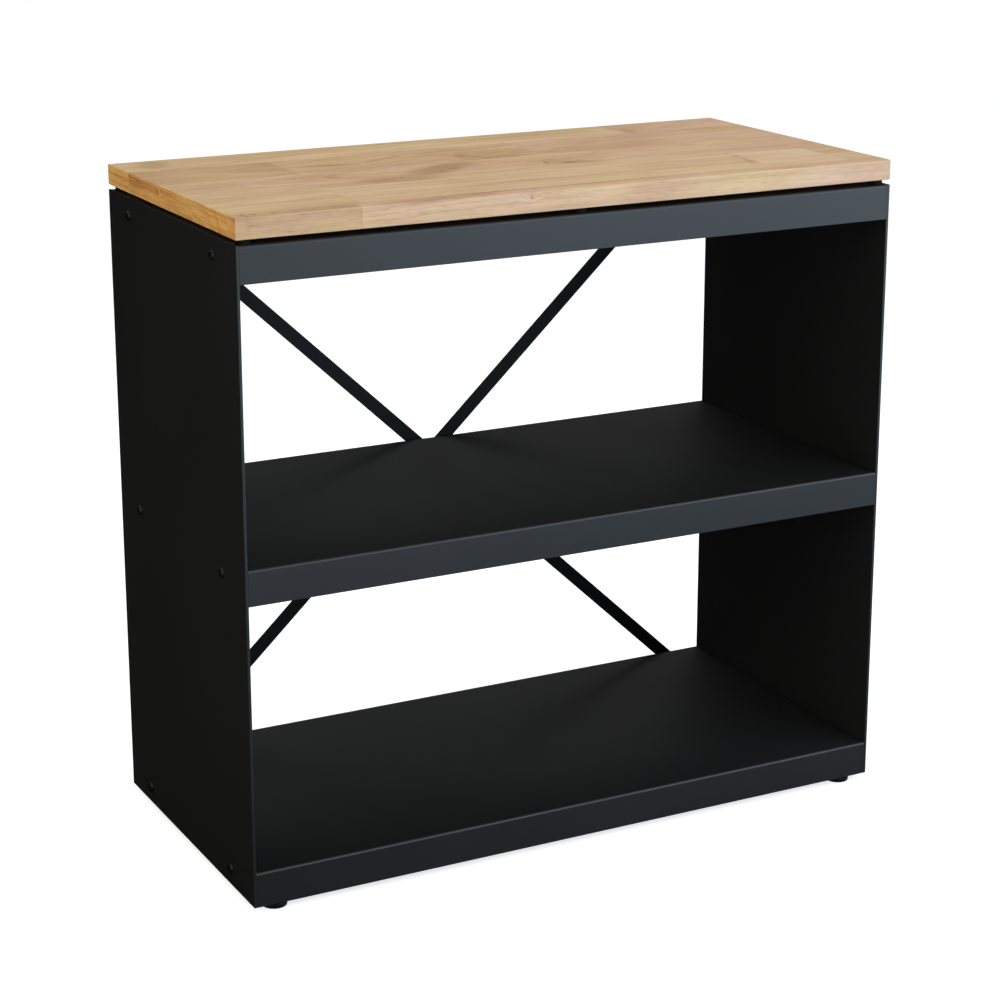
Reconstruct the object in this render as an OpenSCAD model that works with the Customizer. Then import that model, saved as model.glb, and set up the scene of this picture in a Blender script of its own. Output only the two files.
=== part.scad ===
// Firewood storage cabinet, open at the front and the back.
// Two flat steel side panels carry three folded steel trays, and an X brace of flat bars stiffens the back.
// A worktop of glued wooden staves lies on spacers above the top tray, and four levelling feet carry it all.
// Millimetres. The origin is on the floor, in the middle of the cabinet. The open front faces -Y.

/* [Body] */
// Width over the outer faces of the two side panels
body_w = 980; // [700:5:1300]
// Depth of the side panels, trays and worktop
body_d = 470; // [420:5:650]
// Height of the side panels
body_h = 885; // [600:5:1200]
// Thickness of the side panels
panel_t = 4; // [3:0.5:5]

/* [Folded trays] */
// Height of a tray, from its plate's top to its flanges' lower edges
flange_h = 49; // [47:1:70]
// Thickness of the folded sheet
sheet_t = 2.5; // [1.5:0.1:3]
// Inside radius of each fold
fold_r = 1; // [0.5:0.1:2]
// Length of the relief slot at the end of each side fold
relief_l = 5; // [1:0.5:6]
// Length of the bottom shelf's slots, longer so that rinse water and powder drain from the lowest tray
drain_l = 5.5; // [1:0.5:6]

/* [Bolts and nuts] */
// Thread diameter of the bolts and feet
bolt_d = 8; // [6:0.5:8]
// Length of a bolt under its head
bolt_l = 16; // [15:1:20]
// Diameter of the domed bolt head
bolt_head_d = 14; // [13:0.5:16]
// Height of the domed bolt head
bolt_head_h = 4.4; // [3:0.1:5]
// Diameter of the flat on top of the bolt head
bolt_flat_d = 7.2; // [6.5:0.1:9]
// Width across the flats of the hexagon socket
socket_af = 5; // [4:0.5:6]
// Depth of the hexagon socket
socket_depth = 2.6; // [1.5:0.1:2.8]
// Extra diameter of a bolt's hole over its thread
bolt_play = 1; // [0.5:0.1:2]
// Width across the flats of every nut
nut_af = 14; // [13:0.5:15]
// Height of a weld nut
weld_nut_h = 6.5; // [5:0.5:8]
// Distance of the panel bolts from the panel's front and back edges
bolt_inset = 80; // [70:1:150]

/* [Back brace] */
// Width of a flat bar
bar_w = 20; // [18:1:30]
// Thickness of a flat bar
bar_t = 3; // [2:0.5:4]
// Distance of the bars' end bolts from the body's lower and upper edges
brace_end_z = 34; // [32:1:36]
// Distance of the bars' end bolts from the body's sides
brace_end_x = 53; // [45:1:90]
// Outer diameter of the spacer washers under the outer bar's ends
brace_spacer_d = 18; // [15:1:24]

/* [Worktop] */
// Thickness of the wooden staves
board_t = 28; // [26:1:40]
// Height of the shadow gap between the top tray and the worktop
shadow_gap = 7; // [5:0.5:12]
// Width of a full stave
stave_w = 120; // [80:1:136]
// Width of the narrow stave along the front edge
front_stave_w = 26; // [24:1:60]
// Width of the glue line between two staves
glue_line = 0.1; // [0.1:0.1:0.3]
// Chamfer around the worktop's outer edges
edge_ease = 1.2; // [0.5:0.1:3]

/* [Worktop fixings] */
// Distance of the spacers' centres from the body's edges
spacer_inset = 15; // [14:0.5:17]
// Outer diameter of a spacer
spacer_d = 20; // [14:1:20]
// Diameter of a worktop screw
screw_d = 5; // [4:0.5:6]
// Length of a worktop screw under its head
screw_l = 28; // [20:1:34]
// Diameter of a worktop screw's head
screw_head_d = 9.5; // [8:0.5:11]
// Height of a worktop screw's head
screw_head_h = 3; // [2:0.5:4]
// Outer diameter of a worktop screw's washer
washer_d = 12; // [11:0.5:14]
// Thickness of a worktop screw's washer
washer_t = 1; // [0.8:0.1:2]

/* [Levelling feet] */
// Diameter of a foot's pad
pad_d = 34; // [30:1:36]
// Height of a foot's pad, which is also the body's height above the floor
pad_h = 10; // [9:0.5:16]
// Distance of the feet from the body's sides
foot_inset_x = 37; // [36:1:60]
// Distance of the feet from the body's front and back
foot_inset_y = 21; // [20:0.5:40]
// Length of the foot's stud above its pad
stud_l = 32; // [28:1:38]
// Diameter of the flange that turns inside the pad
stud_flange_d = 14; // [12:0.5:16]
// Height of the spanner collar on the stud
collar_h = 5; // [3:0.5:6]
// Height of the lock nut
lock_nut_h = 4; // [3:0.5:5]
// Thickness of the brackets that carry the feet
bracket_t = 3; // [2:0.5:4]
// Length of a foot bracket along the front or back
bracket_l = 56; // [54:1:80]
// Depth of a foot bracket
bracket_w = 46; // [40:1:60]
// Height of a foot bracket's welded tabs
bracket_tab_h = 14; // [8:0.5:16]

/* [Hidden] */
$fn = 48;

steel_colour = [0.13, 0.14, 0.15];
bolt_colour = [0.08, 0.08, 0.09];
zinc_colour = [0.62, 0.63, 0.65];
oak_colour = [0.80, 0.64, 0.46];
plastic_colour = [0.06, 0.06, 0.07];

// Radial clearance between a thread and the hole that it runs in
thread_gap = 0.05;
// Clearance that keeps a foot's parts off each other at its stop
stop_gap = 0.3;
// How far a cut runs past the face that it opens
cut = 1;
// How far a side fold runs into the plate that it joins
seam = 1;
// Length of the tapered tip of a thread
tip_h = 1;
// Thickness of a pad under its stud, height of the stud's flange and width across the collar's flats
sole_t = 3;
stud_flange_h = 3;
collar_af = 13;

front_y = -(body_d + 2 * bar_t + bolt_head_h) / 2;
tray_w = body_w - 2 * panel_t;
fold_outer = fold_r + sheet_t;
top_tray_z = body_h - flange_h;
middle_shelf_z = top_tray_z / 2;
tray_levels = [0, middle_shelf_z, top_tray_z];
bolt_hole_d = bolt_d + bolt_play;
nut_hole_d = bolt_d + 2 * thread_gap;
hex_ratio = 1 / cos(30);
brace_xs = [-1, 1] * (body_w / 2 - brace_end_x);
brace_top_bolts = [for (x = brace_xs) [x, body_h - brace_end_z]];
brace_bottom_bolts = [for (x = brace_xs) [x, brace_end_z]];
brace_middle_bolts = [[0, body_h / 2]];
inner_bar_ends = [brace_bottom_bolts[0], brace_top_bolts[1]];
outer_bar_ends = [brace_bottom_bolts[1], brace_top_bolts[0]];
brace_angle = atan2(body_h - 2 * brace_end_z, body_w - 2 * brace_end_x);
brace_reach = norm([body_h - 2 * brace_end_z, body_w - 2 * brace_end_x]);
board_z = body_h + shadow_gap;
full_rows = 3;
row_fronts = [0, for (i = [0 : full_rows]) front_stave_w + i * stave_w, body_d];
fixing_xs = [-1, 0, 1] * (body_w / 2 - spacer_inset);
fixing_ys = [spacer_inset, body_d - spacer_inset];
bracket_z = collar_h + 2 * stop_gap + lock_nut_h;

// Distances of the end joints from the worktop's left end, for each row of staves from the front
row_joints = [[170], [181, 806, 928], [812], [201, 575], [778]];

// Moves what is drawn from the body's lower front edge to its place above the floor
module in_body() {
    translate([0, front_y, pad_h]) children();
}

// Repeats what is drawn on the left side for both sides
module both_sides() {
    children();
    mirror([1, 0, 0]) children();
}

// Screw with a domed head above z = 0 and its thread below
module button_bolt() {
    rim_h = 0.4;
    rim_r = bolt_head_d / 2;
    flat_r = bolt_flat_d / 2;
    dome_z = (pow(flat_r, 2) - pow(rim_r, 2) + pow(bolt_head_h, 2) - pow(rim_h, 2))
        / (2 * (bolt_head_h - rim_h));
    difference() {
        intersection() {
            cylinder(h = bolt_head_h, r = rim_r);
            translate([0, 0, dome_z]) sphere(r = norm([rim_r, rim_h - dome_z]));
        }
        translate([0, 0, bolt_head_h - socket_depth])
            cylinder(h = socket_depth + cut, d = socket_af * hex_ratio, $fn = 6);
    }
    translate([0, 0, tip_h - bolt_l]) cylinder(h = bolt_l - tip_h, d = bolt_d);
    translate([0, 0, -bolt_l]) cylinder(h = tip_h, d1 = bolt_d - 2 * tip_h, d2 = bolt_d);
}

// Hexagon nut that stands on z = 0, with its corners turned off at the top
module hex_nut(height) {
    difference() {
        intersection() {
            cylinder(h = height, d = nut_af * hex_ratio, $fn = 6);
            cylinder(h = height, d1 = nut_af * hex_ratio + 2 * height, d2 = nut_af);
        }
        translate([0, 0, -cut]) cylinder(h = height + 2 * cut, d = nut_hole_d);
    }
}

// Section of sheet bent through a right angle: the legs run along +x and +y from the outer corner
module bent_section(leg_x, leg_y, thickness, inner_r) {
    outer_r = inner_r + thickness;
    translate([outer_r, 0]) square([leg_x - outer_r, thickness]);
    translate([0, outer_r]) square([thickness, leg_y - outer_r]);
    translate([outer_r, outer_r]) intersection() {
        difference() {
            circle(r = outer_r);
            circle(r = inner_r);
        }
        translate([-outer_r, -outer_r]) square(outer_r);
    }
}

// Places what is drawn along +z on the panel bolts' axes of the left side, pointing out of the body
module at_left_bolts(level) {
    for (y = [bolt_inset, body_d - bolt_inset])
        translate([-body_w / 2, y, level + flange_h / 2]) rotate([0, -90, 0]) children();
}

// Places what is drawn along +z on an axis through the rear flanges, pointing out of the back
module at_rear(x, z) {
    translate([x, body_d, z]) rotate([-90, 0, 0]) children();
}

module side_panel() {
    color(steel_colour) in_body() difference() {
        translate([-body_w / 2, 0, 0]) cube([panel_t, body_d, body_h]);
        for (level = tray_levels)
            at_left_bolts(level) translate([0, 0, -panel_t - cut])
                cylinder(h = panel_t + 2 * cut, d = bolt_hole_d);
    }
}

// Folded tray: the plate and its front and rear flanges are one run of sheet, and the side flanges
// stop short of them at the relief slots
module tray(level, rear_bolts, slot_l) {
    side_run = body_d - 2 * (fold_outer + slot_l);
    color(steel_colour) in_body() difference() {
        translate([0, 0, level]) union() {
            difference() {
                translate([-tray_w / 2, 0, 0]) rotate([90, 0, 90]) linear_extrude(tray_w) {
                    translate([0, flange_h]) mirror([0, 1])
                        bent_section(body_d / 2, flange_h, sheet_t, fold_r);
                    translate([body_d, flange_h]) rotate(180)
                        bent_section(body_d / 2, flange_h, sheet_t, fold_r);
                }
                both_sides() translate([-tray_w / 2 - cut, fold_outer, -cut])
                    cube([fold_outer + cut, body_d - 2 * fold_outer, flange_h + 2 * cut]);
            }
            both_sides() translate([-tray_w / 2, body_d - fold_outer - slot_l, flange_h])
                rotate([90, 0, 0]) linear_extrude(side_run)
                    mirror([0, 1]) bent_section(fold_outer + seam, flange_h, sheet_t, fold_r);
        }
        both_sides() at_left_bolts(level) translate([0, 0, -panel_t - sheet_t - cut])
            cylinder(h = panel_t + sheet_t + 2 * cut, d = bolt_hole_d);
        for (bolt = rear_bolts)
            at_rear(bolt[0], bolt[1]) translate([0, 0, -sheet_t - cut])
                cylinder(h = sheet_t + 2 * cut, d = bolt_hole_d);
        children();
    }
}

module top_tray() {
    tray(top_tray_z, brace_top_bolts, relief_l)
        at_fixings(body_h - sheet_t - cut) cylinder(h = sheet_t + 2 * cut, d = screw_d + bolt_play);
}

module middle_shelf() {
    tray(middle_shelf_z, brace_middle_bolts, relief_l);
}

module bottom_shelf() {
    tray(0, brace_bottom_bolts, drain_l);
}

// Weld nuts on the inner faces of a tray's side and rear flanges
module tray_weld_nuts(level, rear_bolts) {
    color(zinc_colour) in_body() {
        both_sides() at_left_bolts(level)
            translate([0, 0, -panel_t - sheet_t]) mirror([0, 0, 1]) hex_nut(weld_nut_h);
        for (bolt = rear_bolts)
            at_rear(bolt[0], bolt[1]) translate([0, 0, -sheet_t]) mirror([0, 0, 1]) hex_nut(weld_nut_h);
    }
}

module panel_bolts() {
    color(bolt_colour) in_body() for (level = tray_levels) at_left_bolts(level) button_bolt();
}

// Flat bar with round ends, its bolt holes at the ends and the middle, lying at the given tilt and depth
module brace_bar(tilt, depth) {
    color(steel_colour) in_body() translate([0, body_d + depth + bar_t, body_h / 2])
        rotate([90, 0, 0]) rotate(tilt) linear_extrude(bar_t) difference() {
            union() {
                square([brace_reach, bar_w], center = true);
                for (x = [-1, 1] * brace_reach / 2) translate([x, 0]) circle(d = bar_w);
            }
            for (x = [-1, 0, 1] * brace_reach / 2) translate([x, 0]) circle(d = bolt_hole_d);
        }
}

module brace_bolts() {
    color(bolt_colour) in_body() {
        for (end = inner_bar_ends) at_rear(end[0], end[1]) translate([0, 0, bar_t]) button_bolt();
        for (end = concat(outer_bar_ends, brace_middle_bolts))
            at_rear(end[0], end[1]) translate([0, 0, 2 * bar_t]) button_bolt();
    }
}

// Washers that fill the space between the rear flanges and the ends of the outer bar
module brace_spacers() {
    color(zinc_colour) in_body() for (end = outer_bar_ends) at_rear(end[0], end[1]) difference() {
        cylinder(h = bar_t, d = brace_spacer_d);
        translate([0, 0, -cut]) cylinder(h = bar_t + 2 * cut, d = bolt_hole_d);
    }
}

// Places what is drawn at each worktop fixing, at the given height in the body
module at_fixings(height) {
    for (x = fixing_xs, y = fixing_ys) translate([x, y, height]) children();
}

// Rectangle with its corners cut off by the edge chamfer
module eased_square(width, height) {
    polygon([[edge_ease, 0], [width - edge_ease, 0], [width, edge_ease], [width, height - edge_ease],
        [width - edge_ease, height], [edge_ease, height], [0, height - edge_ease], [0, edge_ease]]);
}

// Outside of the whole worktop, with every outer edge chamfered
module worktop_outline() {
    intersection() {
        translate([-body_w / 2, 0, board_z]) rotate([90, 0, 90])
            linear_extrude(body_w) eased_square(body_d, board_t);
        translate([-body_w / 2, body_d, board_z]) rotate([90, 0, 0])
            linear_extrude(body_d) eased_square(body_w, board_t);
        translate([-body_w / 2, 0, board_z]) linear_extrude(board_t) eased_square(body_w, body_d);
    }
}

// One row of staves, end to end: a glue line lies in front of each row but the first, and at each end joint
module stave_row(row) {
    front = row_fronts[row] + (row == 0 ? 0 : glue_line);
    depth = row_fronts[row + 1] - front;
    color(oak_colour) in_body() difference() {
        intersection() {
            worktop_outline();
            translate([-body_w / 2, front, board_z]) cube([body_w, depth, board_t]);
        }
        for (x = row_joints[row]) translate([x - body_w / 2, front - cut, board_z - cut])
            cube([glue_line, depth + 2 * cut, board_t + 2 * cut]);
        at_fixings(body_h - sheet_t - washer_t) cylinder(h = screw_l + cut, d = screw_d + 2 * thread_gap);
    }
}

module worktop_spacers() {
    color(plastic_colour) in_body() at_fixings(body_h) difference() {
        cylinder(h = shadow_gap, d = spacer_d);
        translate([0, 0, -cut]) cylinder(h = shadow_gap + 2 * cut, d = screw_d + bolt_play);
    }
}

// Screws up through the top tray and the spacers into the staves, with a hexagon socket in each head
module worktop_screws() {
    point_h = 5;
    point_d = 1;
    head_taper = 2;
    recess_af = 4;
    recess_h = 1.5;
    color(zinc_colour) in_body() at_fixings(body_h - sheet_t - washer_t) {
        difference() {
            translate([0, 0, -screw_head_h])
                cylinder(h = screw_head_h, d1 = screw_head_d - head_taper, d2 = screw_head_d);
            translate([0, 0, -screw_head_h - cut])
                cylinder(h = recess_h + cut, d = recess_af * hex_ratio, $fn = 6);
        }
        cylinder(h = screw_l - point_h, d = screw_d);
        translate([0, 0, screw_l - point_h]) cylinder(h = point_h, d1 = screw_d, d2 = point_d);
    }
}

module worktop_screw_washers() {
    color(zinc_colour) in_body() at_fixings(body_h - sheet_t - washer_t) difference() {
        cylinder(h = washer_t, d = washer_d);
        translate([0, 0, -cut]) cylinder(h = washer_t + 2 * cut, d = screw_d + bolt_play);
    }
}

// Moves what is drawn at the front left corner to another corner
module at_corner(right, rear) {
    in_body() translate([0, rear ? body_d : 0, 0]) mirror([0, rear ? 1 : 0, 0])
        mirror([right ? 1 : 0, 0, 0]) children();
}

// Moves what is drawn on a foot's axis to the front left foot, at the given height in the body
module at_foot(height) {
    translate([foot_inset_x - body_w / 2, foot_inset_y, height]) children();
}

// Folded bracket in a corner of the bottom shelf: a plate with one tab up each flange
module foot_bracket() {
    outer_r = fold_r + bracket_t;
    side_run = bracket_w - outer_r - relief_l;
    color(steel_colour) difference() {
        translate([panel_t + sheet_t - body_w / 2, sheet_t, bracket_z]) union() {
            difference() {
                rotate([90, 0, 90]) linear_extrude(bracket_l)
                    bent_section(bracket_w, bracket_tab_h, bracket_t, fold_r);
                translate([-cut, outer_r, -cut]) cube([outer_r + cut, bracket_w, bracket_tab_h + 2 * cut]);
            }
            translate([0, bracket_w, 0]) rotate([90, 0, 0]) linear_extrude(side_run)
                bent_section(outer_r + seam, bracket_tab_h, bracket_t, fold_r);
        }
        at_foot(bracket_z - cut) cylinder(h = bracket_t + 2 * cut, d = bolt_hole_d);
    }
}

// Stud of a foot: a flange that turns inside the pad, a neck, a spanner collar and the thread
module foot_stud() {
    neck_z = sole_t + thread_gap;
    color(zinc_colour) at_foot(-pad_h) {
        translate([0, 0, neck_z]) cylinder(h = stud_flange_h, d = stud_flange_d);
        translate([0, 0, neck_z]) cylinder(h = pad_h + stud_l - tip_h - neck_z, d = bolt_d);
        translate([0, 0, pad_h + stop_gap]) cylinder(h = collar_h, d = collar_af * hex_ratio, $fn = 6);
        translate([0, 0, pad_h + stud_l - tip_h]) cylinder(h = tip_h, d1 = bolt_d, d2 = bolt_d - 2 * tip_h);
    }
}

// Pad of a foot: one turned section with the pocket that holds the stud's flange
module foot_pad() {
    rim_h = 6;
    rim_ease = 1;
    hub_r = 12;
    pocket_r = stud_flange_d / 2 + stop_gap;
    pocket_top = sole_t + thread_gap + stud_flange_h + stop_gap;
    mouth_r = bolt_d / 2 + thread_gap;
    color(plastic_colour) at_foot(-pad_h) rotate_extrude() polygon([[0, 0], [pad_d / 2 - rim_ease, 0],
        [pad_d / 2, rim_ease], [pad_d / 2, rim_h], [hub_r, pad_h], [mouth_r, pad_h], [mouth_r, pocket_top],
        [pocket_r, pocket_top], [pocket_r, sole_t], [0, sole_t]]);
}

module left_side_panel() side_panel();
module right_side_panel() mirror([1, 0, 0]) side_panel();
module left_panel_bolts() panel_bolts();
module right_panel_bolts() mirror([1, 0, 0]) panel_bolts();
module top_tray_weld_nuts() tray_weld_nuts(top_tray_z, brace_top_bolts);
module middle_shelf_weld_nuts() tray_weld_nuts(middle_shelf_z, brace_middle_bolts);
module bottom_shelf_weld_nuts() tray_weld_nuts(0, brace_bottom_bolts);
module brace_rising() brace_bar(brace_angle, 0);
module brace_falling() brace_bar(-brace_angle, bar_t);
module worktop_stave_row_1() stave_row(0);
module worktop_stave_row_2() stave_row(1);
module worktop_stave_row_3() stave_row(2);
module worktop_stave_row_4() stave_row(3);
module worktop_stave_row_5() stave_row(4);
module front_left_foot_bracket() at_corner(false, false) foot_bracket();
module front_right_foot_bracket() at_corner(true, false) foot_bracket();
module rear_left_foot_bracket() at_corner(false, true) foot_bracket();
module rear_right_foot_bracket() at_corner(true, true) foot_bracket();
module foot_weld_nuts() {
    color(zinc_colour) for (right = [false, true], rear = [false, true])
        at_corner(right, rear) at_foot(bracket_z + bracket_t) hex_nut(weld_nut_h);
}
module foot_lock_nuts() {
    color(zinc_colour) for (right = [false, true], rear = [false, true])
        at_corner(right, rear) at_foot(bracket_z - lock_nut_h) hex_nut(lock_nut_h);
}
module front_left_foot_stud() at_corner(false, false) foot_stud();
module front_right_foot_stud() at_corner(true, false) foot_stud();
module rear_left_foot_stud() at_corner(false, true) foot_stud();
module rear_right_foot_stud() at_corner(true, true) foot_stud();
module front_left_foot_pad() at_corner(false, false) foot_pad();
module front_right_foot_pad() at_corner(true, false) foot_pad();
module rear_left_foot_pad() at_corner(false, true) foot_pad();
module rear_right_foot_pad() at_corner(true, true) foot_pad();

left_side_panel();
right_side_panel();
top_tray();
middle_shelf();
bottom_shelf();
left_panel_bolts();
right_panel_bolts();
top_tray_weld_nuts();
middle_shelf_weld_nuts();
bottom_shelf_weld_nuts();
brace_rising();
brace_falling();
brace_bolts();
brace_spacers();
worktop_stave_row_1();
worktop_stave_row_2();
worktop_stave_row_3();
worktop_stave_row_4();
worktop_stave_row_5();
worktop_spacers();
worktop_screws();
worktop_screw_washers();
front_left_foot_bracket();
front_right_foot_bracket();
rear_left_foot_bracket();
rear_right_foot_bracket();
foot_weld_nuts();
foot_lock_nuts();
front_left_foot_stud();
front_right_foot_stud();
rear_left_foot_stud();
rear_right_foot_stud();
front_left_foot_pad();
front_right_foot_pad();
rear_left_foot_pad();
rear_right_foot_pad();
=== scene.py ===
"""Looks of an open steel cabinet with a worktop of oiled staves."""
import math

import bmesh
import bpy
from bpy.props import FloatProperty, FloatVectorProperty, PointerProperty
from bpy.types import Operator, Panel, PropertyGroup
from mathutils import Matrix, Vector


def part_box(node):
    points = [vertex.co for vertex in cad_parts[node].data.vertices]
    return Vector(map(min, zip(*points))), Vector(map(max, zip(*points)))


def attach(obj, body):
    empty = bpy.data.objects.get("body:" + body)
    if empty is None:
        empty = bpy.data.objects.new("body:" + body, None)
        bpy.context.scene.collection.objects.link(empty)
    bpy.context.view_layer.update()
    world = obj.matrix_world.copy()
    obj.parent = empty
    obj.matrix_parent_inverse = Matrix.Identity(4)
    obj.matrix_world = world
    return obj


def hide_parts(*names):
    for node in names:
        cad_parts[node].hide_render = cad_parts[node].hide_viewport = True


bl_info = {
    "name": "Firewood cabinet",
    "version": (1, 0, 0),
    "blender": (4, 5, 0),
    "location": "View3D > Sidebar > Cabinet",
    "description": "Models the worktop, panels, bolts and feet of a firewood cabinet on its packed frame",
    "category": "Object",
}

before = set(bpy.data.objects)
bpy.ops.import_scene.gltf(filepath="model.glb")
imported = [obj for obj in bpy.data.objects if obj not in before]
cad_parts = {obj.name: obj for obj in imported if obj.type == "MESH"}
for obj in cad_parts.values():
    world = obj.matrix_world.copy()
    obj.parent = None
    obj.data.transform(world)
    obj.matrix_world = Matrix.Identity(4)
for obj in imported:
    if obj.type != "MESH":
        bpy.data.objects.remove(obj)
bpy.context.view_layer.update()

BODY = "cabinet"
CORNERS = ("front_left", "front_right", "rear_left", "rear_right")
TRAYS = ("top_tray", "middle_shelf", "bottom_shelf")
BARS = ("brace_rising", "brace_falling")
ROWS = 5

# Points nearer to each other than this are one point
SNAP = 1e-5

# Butt joints of each row, measured from the left end
ROW_JOINTS = ((0.170,), (0.181, 0.806, 0.928), (0.812,), (0.201, 0.575), (0.778,))

# Each stave's tone from 0, pale, to 1, dark, how pink it is, and its pith: the place along the row
# where it lies nearest, how far it is from the row's middle and below the board, and how it bends away
STAVES = (
    ((0.42, 0.9, -0.40, 0.010, 0.055, 0.10), (0.28, 1.0, 0.20, -0.008, 0.085, 0.06)),
    ((0.27, 0.2, -0.60, 0.050, 0.060, 0.10), (0.20, 0.4, 0.00, -0.062, 0.070, 0.05),
     (0.10, 0.9, 0.37, 0.030, 0.120, 0.30), (0.28, 1.0, 0.60, -0.060, 0.080, 0.20)),
    ((0.25, 0.6, -0.10, 0.020, 0.040, 0.16), (0.22, 1.2, 0.42, 0.066, 0.060, 0.12)),
    ((0.50, 0.3, -0.60, -0.030, 0.110, 0.10), (0.33, 0.8, -0.02, -0.012, 0.050, 0.42),
     (0.30, 1.3, 0.35, -0.050, 0.090, 0.20)),
    ((0.24, 0.1, 0.10, -0.060, 0.060, 0.08), (0.27, 1.2, 0.36, 0.010, 0.050, 0.60)),
)

# Knots: place and half size, through the whole board or only where they show at its side
KNOTS = (
    ((-0.031, 0.064), (0.007, 0.016)), ((-0.009, 0.052), (0.016, 0.007)), ((0.047, -0.038), (0.006, 0.014)),
    ((0.080, -0.052), (0.018, 0.008)), ((0.316, -0.112), (0.006, 0.010)),
    ((-0.460, -0.225), (0.005, 0.007)), ((-0.436, -0.223), (0.003, 0.006)),
    ((-0.078, -0.240, 0.922), (0.0045, 0.004, 0.0028)), ((-0.490, 0.036, 0.923), (0.004, 0.006, 0.004)),
)

# Dark flames: row and stave, place, half length and half width, turn in degrees, and strength
FLAMES = (
    (3, 1, -0.105, -0.022, 0.110, 0.033, 34, 0.40), (3, 1, -0.185, -0.064, 0.090, 0.026, 6, 0.34),
    (3, 1, -0.183, -0.087, 0.066, 0.006, 0, 0.44), (3, 1, 0.085, -0.046, 0.060, 0.024, -25, 0.22),
    (4, 2, -0.235, 0.074, 0.060, 0.009, -10, 0.34), (4, 2, 0.003, 0.034, 0.078, 0.012, 0, 0.30),
    (4, 2, -0.134, 0.096, 0.062, 0.006, 25, 0.36), (4, 2, 0.000, 0.119, 0.100, 0.006, 2, 0.34),
    (4, 2, -0.025, 0.060, 0.020, 0.034, -20, 0.18), (4, 3, 0.180, 0.050, 0.140, 0.040, 3, 0.16),
    (2, 2, 0.313, -0.150, 0.008, 0.040, -12, 0.30), (5, 1, -0.438, 0.192, 0.030, 0.042, 0, 0.24),
    (5, 2, 0.300, 0.165, 0.012, 0.026, 0, 0.28), (1, 2, -0.060, -0.2160, 0.335, 0.0040, 0, 0.46),
    (1, 1, -0.474, -0.226, 0.004, 0.014, 0, 0.30), (1, 2, 0.150, -0.2160, 0.150, 0.0030, 0, 0.30),
)

# A mark with no height of its own is centred in the board and goes right through it
BOARD_LEVEL = 0.9
RIGHT_THROUGH = 9.0

# Where a mark starts to fade and where it is gone, in half sizes
KNOT_FADE = (0.2, 1.1)
SWELL_FADE = (0.0, 4.0)
FLAME_FADE = (0.35, 1.1)

# How far a knot pushes the growth rings away
KNOT_SWELL = 0.009

# How often each figure of the wood varies in a metre, along the staves, across them and up
WAVER = (2.4, 8.0, 8.0)
RIPPLE = (16.0, 70.0, 70.0)
FIBRE = (13.0, 420.0, 420.0)
PORES = (60.0, 1100.0, 1100.0)
CLOUD = (6.0, 20.0, 20.0)
CONTRAST = (1.8, 9.0, 9.0)
BLUSH = (6.0, 15.0, 15.0)
STREAKS = (0.0, 5.0, 300.0)

# How far the slow waver and the quick ripple of the grain move the rings, and fray the marks
WAVER_BEND, RIPPLE_BEND = (0.0, 0.030, 0.024), (0.0, 0.0016, 0.0016)
WAVER_FRAY, RIPPLE_FRAY = (0.030, 0.012, 0.0), (0.012, 0.005, 0.0)

# How much each figure darkens the wood
RING_SHARE, CLOUD_SHARE, FIBRE_SHARE, PORE_SHARE = 0.85, 0.75, 0.60, 0.24

# Tints that multiply the wood's colour: pink staves, end grain, and the dark streaks in it
BLUSH_TINT = (1.00, 0.935, 1.14)
END_TINT = (0.99, 0.80, 0.385)
STREAK_TINT = (0.70, 0.50, 0.37)

# Bolt head: the small chamfer at its foot, its upright rim, the radius of the flat round the socket,
# the arc between the two and its steps, and how deep the socket is
HEAD_CHAMFER = 0.0002
HEAD_RIM = 0.0005
HEAD_FLAT = 0.0036
HEAD_ARC = math.radians(62)
HEAD_STEPS = 7
SOCKET_DEPTH = 0.0026

# Bolts: their turn about X and Y in degrees, the axis that they lie along, and whether the heads are at its far end
BOLT_SETS = {
    "left_panel_bolts": ((0, -90), 0, False),
    "right_panel_bolts": ((0, 90), 0, True),
    "brace_bolts": ((-90, 0), 1, True),
}

# Turn of a set's first bolt about its own length, and what each next bolt adds to it, in radians
FIRST_TURN, NEXT_TURN = 0.4, 1.7

# Nuts: room round the thread, chamfer of the bore, and how far its cutter stands out
BORE_ROOM = 0.00015
BORE_CHAMFER = 0.0006
BORE_PAST = 0.0002

# Hexagons: radius of the face that the chamfer leaves, as a share of the width, and how far its cutter stands out
HEXAGON_FACE = 0.475
HEXAGON_PAST = 0.0004

# Gloss of the powder coat and of the crossed bars' darker, matt copy of it, whose darker colour is painted shade
COAT_GLOSS, MATT_GLOSS = 0.38, 0.11

# Length of the bar that cuts a bolt hole through a panel
HOLE_LENGTH = 0.1

# Foot pad from the middle of its sole out, up its side and in to the pocket that holds the stud
PAD_PROFILE = (
    (0.004, 0.0), (0.0160, 0.0), (0.0167, 0.0003), (0.0170, 0.0010), (0.0170, 0.0054), (0.0168, 0.0060),
    (0.0164, 0.0064), (0.0128, 0.0092), (0.0120, 0.0097), (0.0112, 0.0100), (0.0045, 0.0100), (0.00405, 0.0096),
    (0.00405, 0.0067), (0.0073, 0.00635), (0.0073, 0.0030), (0.0002, 0.0030),
)

# Stud: its flange as radius and height above its foot, and its collar's width across flats, bottom and top
FLANGE_PROFILE = ((0.0066, 0.0), (0.007, 0.0004), (0.007, 0.0026), (0.0066, 0.003))
COLLAR = (0.013, 0.00725, 0.01225)

# Camera: its place, and how far it looks down and to the right, in degrees
CAMERA_PLACE = (-1.594, -3.0421, 1.4756)
CAMERA_DOWN = 15.417
CAMERA_RIGHT = 27.661
SENSOR_WIDTH = 36

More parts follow.
